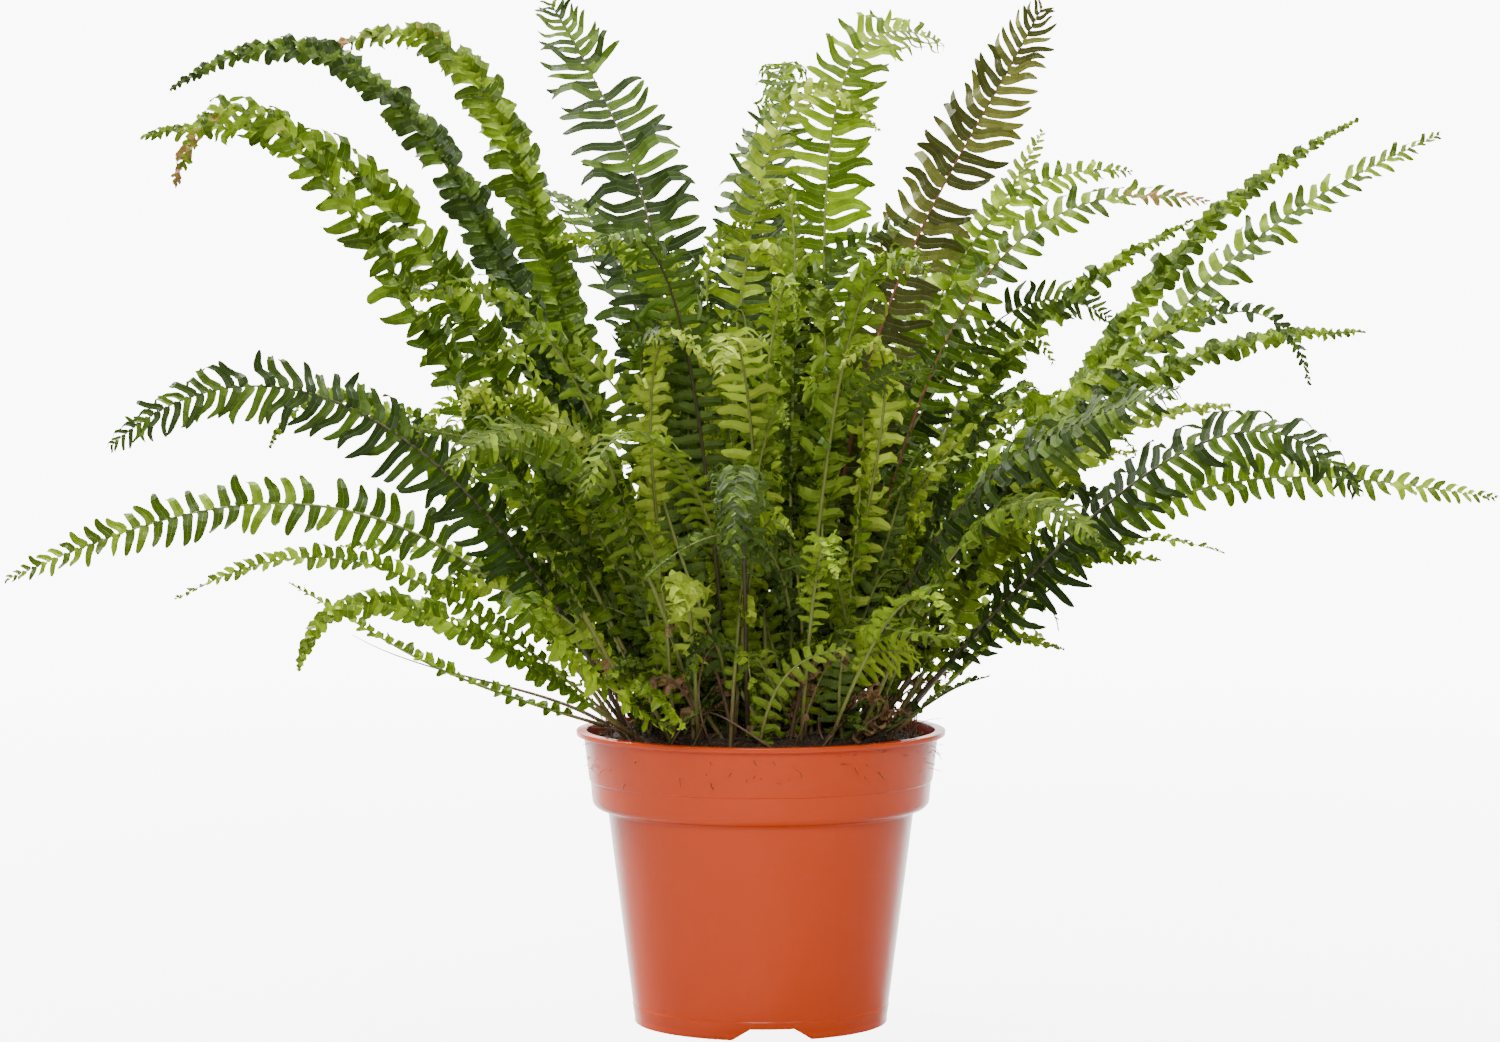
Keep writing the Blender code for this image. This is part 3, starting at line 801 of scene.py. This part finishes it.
# Ways in which leaflets are held. Long, Wide and Apart are against the usual leaflet of a
# frond as wide, Full is how late the frond narrows, and angles are in degrees.
HABITS = {
    "broad": dict(Long=1.06, Wide=0.88, Full=1.0, Forward=2, Lift=2, Droop=14, Wave=11,
                  Fold=7, Ruffle=0.10, Twist=12, Unevenness=6, Missing=0.01),
    "drooping": dict(Long=1.0, Wide=0.8, Full=0.5, Forward=8, Lift=4, Droop=64, Wave=12,
                     Fold=20, Ruffle=0.10, Twist=15, Unevenness=9, Missing=0.01),
    "comb": dict(Long=1.0, Wide=1.0, Apart=1.25, Full=0.4, Forward=4, Lift=12, Droop=30, Wave=8,
                 Fold=14, Ruffle=0.16, Twist=30, Unevenness=16, Missing=0.03),
    "cupped": dict(Long=0.80, Wide=1.6, Full=0.3, Forward=10, Lift=38, Droop=110, Wave=9,
                   Fold=22, Ruffle=0.20, Twist=28, Unevenness=22, Missing=0.02),
    "loose": dict(Long=0.85, Wide=1.35, Full=0.3, Forward=12, Lift=26, Droop=70, Wave=16,
                  Fold=20, Ruffle=0.20, Twist=48, Unevenness=36, Missing=0.04),
    "beaded": dict(Long=0.85, Wide=1.15, Full=0.3, Forward=6, Lift=24, Droop=25, Wave=8,
                   Fold=18, Ruffle=0.16, Twist=50, Unevenness=26, Missing=0.07),
}
ANGLES = ("Forward", "Lift", "Droop", "Wave", "Fold", "Twist", "Unevenness")

# Each family's fronds, numbered from 1: habit, leaf green, the bearing and radius where it
# leaves the soil, its tip, its slope as it rises and as it ends, the sideways sweep of its
# heading, the roll of its blade and the blade's width, as in the solid model.
FRONDS = {
    "left_top": [
        ("cupped", "deep_green", 172, 0.040, (-0.270, 0.015, 0.427), 72, -35, 0, -55, 0.036),
        ("cupped", "deep_green", 155, 0.044, (-0.214, 0.085, 0.446), 70, -25, 0, -40, 0.046),
        ("loose", "mid_green", 188, 0.044, (-0.276, -0.050, 0.406), 63, -12, 0, -50, 0.042),
        ("loose", "mid_green", 204, 0.054, (-0.256, -0.095, 0.382), 60, -75, 0, -50, 0.040),
    ],
    "left_mid": [
        ("drooping", "deep_green", 197, 0.061, (-0.290, -0.060, 0.268), 64, -42, 0, -60, 0.046),
        ("cupped", "mid_green", 158, 0.054, (-0.232, 0.070, 0.262), 49, -62, 0, -60, 0.024),
        ("beaded", "mid_green", 140, 0.056, (-0.208, 0.130, 0.282), 52, 5, 0, -30, 0.016),
    ],
    "left_low": [
        ("comb", "mid_green", 180, 0.060, (-0.344, 0.000, 0.204), 56, -24, 0, -60, 0.032),
        ("beaded", "fresh_green", 150, 0.060, (-0.205, 0.110, 0.212), 45, -5, 0, -40, 0.016),
        ("beaded", "fresh_green", 205, 0.062, (-0.258, -0.075, 0.198), 42, -28, 0, -55, 0.018),
        ("cupped", "fresh_green", 214, 0.064, (-0.202, -0.115, 0.172), 34, -75, 0, -50, 0.024),
        ("beaded", "fresh_green", 168, 0.064, (-0.222, 0.040, 0.203), 14, 28, 0, -20, 0.016),
    ],
    "crown": [
        ("broad", "deep_green", 166, 0.038, (-0.102, 0.110, 0.474), 88, 48, 10, -30, 0.050),
        ("drooping", "mid_green", 132, 0.036, (0.002, 0.165, 0.424), 86, -45, 30, 0, 0.040),
        ("broad", "deep_green", 160, 0.016, (0.002, 0.092, 0.425), 88, 52, 0, 0, 0.042),
        ("comb", "pale_green", 215, 0.026, (0.053, 0.010, 0.410), 88, -50, 0, 60, 0.026),
        ("broad", "fresh_green", 46, 0.036, (0.086, 0.085, 0.454), 84, -15, 0, 45, 0.040),
        ("broad", "bronze_green", 340, 0.022, (0.126, -0.020, 0.465), 84, 62, 0, 80, 0.042),
        ("comb", "pale_green", 55, 0.046, (0.138, 0.135, 0.416), 82, 55, 0, 40, 0.028),
        ("comb", "fresh_green", 35, 0.042, (0.175, 0.095, 0.392), 76, -5, 0, 55, 0.028),
        ("comb", "bronze_green", 350, 0.036, (0.205, -0.010, 0.377), 80, -12, 0, 40, 0.032),
    ],
    "right_top": [
        ("cupped", "mid_green", 18, 0.048, (0.278, 0.050, 0.414), 54, 28, 0, 45, 0.028),
        ("comb", "mid_green", 4, 0.050, (0.313, 0.005, 0.405), 54, 24, 0, 45, 0.032),
        ("loose", "mid_green", 40, 0.050, (0.208, 0.120, 0.370), 68, 25, 0, 40, 0.024),
    ],
    "right_mid": [
        ("beaded", "deep_green", 338, 0.046, (0.240, -0.075, 0.292), 66, -80, 0, 45, 0.022),
        ("cupped", "mid_green", 24, 0.056, (0.290, 0.075, 0.314), 58, 0, 0, 40, 0.028),
        ("loose", "fresh_green", 325, 0.050, (0.200, -0.110, 0.334), 66, 30, 0, 40, 0.036),
        ("loose", "pale_green", 350, 0.057, (0.212, -0.022, 0.283), 58, 5, 0, 40, 0.030),
    ],
    "right_low": [
        ("drooping", "deep_green", 340, 0.058, (0.262, -0.085, 0.248), 48, -52, 0, 50, 0.048),
        ("comb", "fresh_green", 2, 0.060, (0.340, 0.010, 0.242), 52, -8, 0, 55, 0.026),
        ("beaded", "fresh_green", 332, 0.064, (0.205, -0.060, 0.222), 42, -20, 0, 20, 0.016),
        ("comb", "fresh_green", 36, 0.062, (0.142, 0.070, 0.172), 60, -80, 0, 30, 0.018),
        ("comb", "pale_green", 20, 0.064, (0.132, 0.030, 0.168), 62, -80, 0, 30, 0.018),
        ("beaded", "deep_green", 316, 0.064, (0.103, -0.070, 0.166), 30, 15, 0, 10, 0.014),
    ],
    "front": [
        ("drooping", "deep_green", 310, 0.050, (0.170, -0.160, 0.295), 62, 15, 0, 40, 0.052),
        ("cupped", "fresh_green", 228, 0.060, (-0.036, -0.110, 0.144), 60, -40, 60, -30, 0.026),
        ("loose", "pale_green", 240, 0.056, (-0.035, -0.165, 0.200), 58, -30, 0, -20, 0.030),
        ("drooping", "deep_green", 262, 0.044, (-0.010, -0.262, 0.225), 64, -70, 0, 0, 0.030),
        ("comb", "pale_green", 276, 0.034, (-0.016, -0.200, 0.300), 74, -40, 0, 0, 0.028),
        ("beaded", "fresh_green", 290, 0.052, (0.030, -0.190, 0.215), 58, -40, 0, 10, 0.020),
        ("beaded", "fresh_green", 300, 0.060, (0.080, -0.160, 0.192), 52, -50, 0, 10, 0.020),
        ("drooping", "mid_green", 236, 0.046, (-0.130, -0.190, 0.262), 66, -35, 0, -30, 0.036),
        ("loose", "mid_green", 222, 0.044, (-0.150, -0.150, 0.335), 70, -10, 0, -40, 0.036),
        ("drooping", "deep_green", 250, 0.036, (-0.075, -0.160, 0.355), 78, -20, 0, 10, 0.040),
        ("loose", "mid_green", 296, 0.036, (0.070, -0.165, 0.345), 76, -20, 0, 10, 0.038),
        ("drooping", "mid_green", 316, 0.060, (0.135, -0.185, 0.235), 56, -30, 0, 30, 0.036),
    ],
    "back": [
        ("drooping", "mid_green", 100, 0.050, (-0.055, 0.262, 0.290), 66, -40, 0, 0, 0.044),
        ("broad", "deep_green", 78, 0.052, (0.060, 0.258, 0.255), 62, -50, 0, 0, 0.048),
        ("comb", "mid_green", 126, 0.054, (-0.160, 0.210, 0.262), 62, -30, 0, 20, 0.042),
        ("cupped", "mid_green", 52, 0.056, (0.165, 0.205, 0.268), 62, -20, 0, 20, 0.042),
        ("broad", "deep_green", 88, 0.044, (0.015, 0.225, 0.375), 76, -5, 0, 0, 0.048),
        ("comb", "mid_green", 60, 0.046, (0.120, 0.185, 0.350), 72, 0, 0, 10, 0.040),
        ("broad", "deep_green", 118, 0.044, (-0.125, 0.180, 0.385), 76, 0, 0, 10, 0.046),
        ("loose", "fresh_green", 96, 0.064, (-0.010, 0.215, 0.190), 46, -40, 0, 0, 0.030),
        ("comb", "mid_green", 136, 0.064, (-0.150, 0.150, 0.188), 44, -30, 0, 20, 0.034),
    ],
}
BARE_SHARES = {"crown": 0.28, "front": 0.34, "left": 0.18, "right": 0.18, "back": 0.22}
SOIL_TOP = 0.1320
ROOT_PULL = 0.60
TIP_PULL = 0.35
FROND_TREE = frond_tree()


def frond_handles(bearing, radius, tip, rise, fall, sweep):
    """Root, two pull points and tip of the arch that the frond follows."""
    rise_angle, fall_angle = math.radians(rise), math.radians(fall)
    root = heading(bearing) * radius
    root.z = SOIL_TOP + 0.0003
    end = Vector(tip)
    span = (end - root).length
    along = math.degrees(math.atan2(end.y - root.y, end.x - root.x))
    leave = heading(along - sweep) * math.cos(rise_angle) + Vector((0, 0, math.sin(rise_angle)))
    arrive = heading(along + sweep) * math.cos(fall_angle) + Vector((0, 0, math.sin(fall_angle)))
    foot = root - leave * STIPE_FOOT_SINK
    return foot, root + leave * span * ROOT_PULL, end - arrive * span * TIP_PULL, end


def frond_piece(name, values):
    return from_tree(name, bpy.data.meshes.new(name), FROND_TREE, values)


def grow(name, habit, leaf, stem, seed, course, roll, width, **changes):
    """One frond as a plain mesh. Its course is what frond_handles takes."""
    foot, leaving, arriving, tip = frond_handles(*course)
    shape = dict(HABITS[habit])
    length = 0.5 * width * shape.pop("Long")
    values = {
        "Stem radius": STEM_LEAST_RADIUS + STEM_RADIUS_SHARE * width, "Leaflet length": length,
        "Leaflet width": (LEAFLET_LEAST_WIDTH + LEAFLET_WIDTH_SHARE * length) * shape.pop("Wide"),
        "Spacing": (LEAST_SPACING + SPACING_SHARE * length) * shape.pop("Apart", 1.0),
        "Rings": 7 if length > LONG_LEAFLET else 5, "Bare share": 0.16,
        "Roll": math.radians(roll), "Seed": seed, "Root": tuple(foot),
        "Leaving": tuple(leaving), "Arriving": tuple(arriving), "Tip": tuple(tip),
        "Leaf finish": leaf, "Stem finish": stem,
    }
    for key, value in shape.items():
        values[key] = math.radians(value) if key in ANGLES else value
    return frond_piece(name, {**values, **changes})


fronds = [(f"{family}_{k + 1}", *row) for family, rows in FRONDS.items() for k, row in enumerate(rows)]
for seed, (name, habit, green, *course, roll, width) in enumerate(fronds):
    stem = {"bronze_green": STEM_BROWN, "deep_green": STEM_DARK}.get(green, STEM_GREEN)
    leaf = RUSTY_LEAVES.get(name, LEAF_FINISHES[green])
    bare = BARE_SHARES[name.split("_")[0]]
    frond = grow(f"fern_{name}", habit, leaf, stem, seed, course, roll, width, **{"Bare share": bare})
    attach(frond, "root")
    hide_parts(f"frond_{name}")


# ---------------------------------------------------------------------------------------
# Inner fronds
# The crowd of shorter and younger fronds that closes the middle of the plant. Each new one
# comes up a golden turn on from the last, as leaves do, and leans out through its elders.
# ---------------------------------------------------------------------------------------
GOLDEN_TURN = 137.5
# Each tier: how many, how far out and how high the tips reach, the width of the blades, how
# steeply they rise and the share of their length that is bare.
TIERS = [
    ("upper", 26, (0.020, 0.120), (0.280, 0.375), (0.022, 0.036), (68, 88), 0.25),
    ("middle", 60, (0.080, 0.190), (0.210, 0.330), (0.018, 0.032), (50, 84), 0.15),
    ("lower", 48, (0.060, 0.180), (0.160, 0.235), (0.014, 0.026), (40, 80), 0.07),
    ("ground", 44, (0.020, 0.105), (0.145, 0.185), (0.010, 0.018), (35, 75), 0.03),
]
TIER_HABITS = ["broad", "comb", "cupped", "loose", "loose", "beaded"]
TIER_GREENS = ["deep_green", "deep_green", "mid_green", "mid_green", "fresh_green", "pale_green"]


def joined(name, pieces):
    """The pieces' meshes as one mesh, with the finishes they share."""
    with bpy.context.temp_override(
        object=pieces[0], active_object=pieces[0], selected_editable_objects=pieces
    ):
        bpy.ops.object.join()
    pieces[0].name = name
    pieces[0].data.name = name
    return pieces[0]


for tier, count, reaches, heights, widths, rises, bare in TIERS:
    chance = random.Random(f"tier {tier}")
    grown = {}
    for k in range(count):
        bearing = GOLDEN_TURN * k + chance.uniform(-12, 12)
        reach, height = chance.uniform(*reaches), chance.uniform(*heights)
        tip = heading(bearing) * reach + Vector((0.0, 0.0, height))
        radius = chance.uniform(0.15, 1.0) * 0.062
        rise, fall = chance.uniform(*rises), chance.uniform(-75, 20)
        sweep, roll = chance.uniform(-55, 55), chance.uniform(-90, 90)
        course = (bearing + chance.uniform(-50, 50), radius, tip, rise, fall, sweep)
        habit, green = chance.choice(TIER_HABITS), chance.choice(TIER_GREENS)
        width = chance.uniform(*widths)
        frond = grow(
            f"{tier}_{k}", habit, LEAF_FINISHES[green], STEM_GREEN, 100 + k, course, roll,
            width, **{"Bare share": bare},
        )
        grown.setdefault(green, []).append(frond)
    for green, fronds in grown.items():
        crowd = joined(f"fern_{tier}_{green}", fronds)
        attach(crowd, "root")


# One young frond that grew out to the left and has flopped back over the front of the soil.
flopped = frond_piece("fern_flopped", {
    "Root": (-0.060, -0.022, 0.130), "Leaving": (-0.135, -0.070, 0.250),
    "Arriving": (-0.112, -0.100, 0.190), "Tip": (-0.036, -0.072, 0.139),
    "Stem radius": 0.0011, "Leaflet length": 0.0125, "Leaflet width": 0.0072,
    "Spacing": 0.0062, "Bare share": 0.30, "Forward": 0.25, "Lift": 0.15, "Droop": 0.9,
    "Wave": 0.18, "Fold": 0.25, "Ruffle": 0.18, "Twist": 0.4, "Unevenness": 0.3,
    "Missing": 0.02, "Full": 0.8, "Rings": 7, "Roll": 0.3, "Seed": 71,
    "Leaf finish": LEAF_FINISHES["fresh_green"], "Stem finish": STEM_GREEN,
})
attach(flopped, "root")


# ---------------------------------------------------------------------------------------
# Dry growth
# What an old fern keeps under its fronds: a leafless runner over the rim, withered fronds
# caught low in the crown, and bare wiry stalks whose leaflets have fallen.
# ---------------------------------------------------------------------------------------
runner = frond_piece("fern_runner", {
    "Root": (-0.066, 0.019, 0.131), "Leaving": (-0.098, 0.030, 0.154),
    "Arriving": (-0.155, 0.052, 0.150), "Tip": (-0.196, 0.066, 0.172), "Stem radius": 0.0011,
    "Spacing": 0.03, "Missing": 1.0, "Rings": 3, "Seed": 3, "Leaf finish": WITHERED,
    "Stem finish": STEM_DRY,
})
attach(runner, "root")
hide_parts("runner")

# Withered fronds: bearing and radius at the foot, tip, rise, fall and sweep, and the width.
WITHERED_FRONDS = [
    ((285, 0.050, (0.036, -0.088, 0.168), 70, -60, 20), 0.020),
    ((300, 0.056, (0.052, -0.080, 0.152), 60, -50, -40), 0.018),
    ((255, 0.048, (-0.040, -0.090, 0.186), 80, -80, 10), 0.022),
    ((240, 0.052, (-0.052, -0.070, 0.160), 70, -70, -30), 0.018),
    ((310, 0.060, (0.066, -0.060, 0.146), 40, -30, 20), 0.016),
    ((200, 0.050, (-0.082, -0.020, 0.165), 60, -60, 20), 0.018),
    ((80, 0.052, (0.020, 0.094, 0.170), 66, -60, 30), 0.020),
    ((130, 0.055, (-0.060, 0.074, 0.160), 60, -70, -30), 0.018),
    ((20, 0.056, (0.088, 0.020, 0.158), 55, -50, 20), 0.018),
]
withered = joined("fern_withered", [
    grow(f"withered_{k}", "loose", WITHERED, STEM_DRY, 300 + k, course, 30 * k, width,
         **{"Bare share": 0.25, "Missing": 0.35, "Twist": 2.2, "Fold": 0.9})
    for k, (course, width) in enumerate(WITHERED_FRONDS)
])
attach(withered, "root")

# Bare stalks lean any way out of the soil; the thinner wires stand at the rim on both sides.
STALK_COUNT = 34
WIRE_COUNT = 18
chance = random.Random("stalks")
stalks = []
for k in range(STALK_COUNT):
    bearing = GOLDEN_TURN * k
    radius = chance.uniform(0.045, 0.070)
    tip = heading(bearing + chance.uniform(-40, 40)) * chance.uniform(0.050, 0.100)
    tip.z = chance.uniform(0.136, 0.185)
    course = (bearing, radius, tip, chance.uniform(30, 80), chance.uniform(-40, 60),
              chance.uniform(-70, 70))
    stalks.append(grow(
        f"stalk_{k}", "beaded", WITHERED, STEM_DRY, 400 + k, course, 0, 0.008,
        **{"Missing": 0.95, "Stem radius": chance.uniform(0.0004, 0.0008)},
    ))
for k in range(WIRE_COUNT):
    bearing = 180 * (k % 2) + chance.uniform(-40, 40)
    tip = heading(bearing + chance.uniform(-25, 25)) * chance.uniform(0.066, 0.086)
    tip.z = chance.uniform(0.140, 0.176)
    course = (bearing, chance.uniform(0.066, 0.073), tip, chance.uniform(60, 100),
              chance.uniform(-120, 80), chance.uniform(-90, 90))
    stalks.append(grow(
        f"wire_{k}", "beaded", WITHERED, STEM_DRY, 450 + k, course, 0, 0.008,
        **{"Missing": 1.0, "Stem radius": 0.00035},
    ))
stalks = joined("fern_stalks", stalks)
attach(stalks, "root")


# ---------------------------------------------------------------------------------------
# Studio
# A pale floor that fades out into a bright surround, brighter still behind the plant, with
# a large soft box over the camera, a weaker one on the right, and three above and behind.
# ---------------------------------------------------------------------------------------
CAMERA_PLACE = (-0.005, -2.0436, 0.346)
CAMERA_PITCH = 3.23
CAMERA_LENS = 107.0
FLOOR_RADIUS = 2.2
SURROUND_SEEN = 10.0
SURROUND_FRONT = 0.15
SURROUND_BEHIND = 3.6


def soft_box(name, place, aim, size, power):
    light = bpy.data.lights.new(name, "AREA")
    light.shape = "RECTANGLE"
    light.size, light.size_y = size
    light.energy = power
    made = bpy.data.objects.new(name, light)
    made.location = place
    made.rotation_euler = (Vector(aim) - Vector(place)).to_track_quat("-Z", "Y").to_euler()
    bpy.context.scene.collection.objects.link(made)


paper = Finish("studio_paper")
paper_grain = paper.noise(paper.place, 40, 2.0)
paper.set(Base_Color=paper.mix(paper_grain, (0.86, 0.86, 0.85), (0.89, 0.89, 0.88)), Roughness=0.9)
from_middle = paper.calc("LENGTH", paper.place)
paper.set(Alpha=paper.step(from_middle, 0.25, 1.9, 0.35, 0.0))
floor = add_piece("studio_floor", turned_mesh("studio_floor", [(FLOOR_RADIUS, 0.0), (0.0, 0.0)], 96))
floor.data.materials.append(paper.material)

world = bpy.data.worlds.new("studio_surround")
world.use_nodes = True
surround = Bench(world.node_tree)
towards = surround.xyz(surround.out(surround.node("ShaderNodeTexCoord"), "Generated"))
behind = surround.step(towards[1], 0.70, 0.97)
glow = behind * (SURROUND_BEHIND - SURROUND_FRONT) + SURROUND_FRONT
seen = surround.out(surround.node("ShaderNodeLightPath"), "Is Camera Ray")
surround.feed(
    world.node_tree.nodes["Background"].inputs["Strength"], glow + (SURROUND_SEEN - glow) * seen
)
world.node_tree.nodes["Background"].inputs["Color"].default_value = (1.0, 1.0, 1.0, 1.0)
bpy.context.scene.world = world
soft_box("key_box", (-0.15, -2.3, 1.2), (0, 0, 0.22), (0.9, 0.9), 48)
soft_box("fill_box", (1.1, -2.1, 0.8), (0, 0, 0.22), (0.6, 0.9), 5)
soft_box("top_box", (0.0, -0.1, 1.9), (0, 0.0, 0.2), (2.0, 0.8), 72)
soft_box("left_rim", (-1.1, 0.8, 1.4), (-0.2, 0, 0.32), (0.5, 0.8), 115)
soft_box("right_rim", (1.1, 0.8, 1.4), (0.2, 0, 0.32), (0.5, 0.8), 42)

camera = bpy.data.objects.new("camera", bpy.data.cameras.new("camera"))
camera.data.lens = CAMERA_LENS
camera.data.sensor_width = 36.0
camera.location = CAMERA_PLACE
camera.rotation_euler = (math.radians(90 - CAMERA_PITCH), 0.0, 0.0)
bpy.context.scene.collection.objects.link(camera)
bpy.context.scene.camera = camera
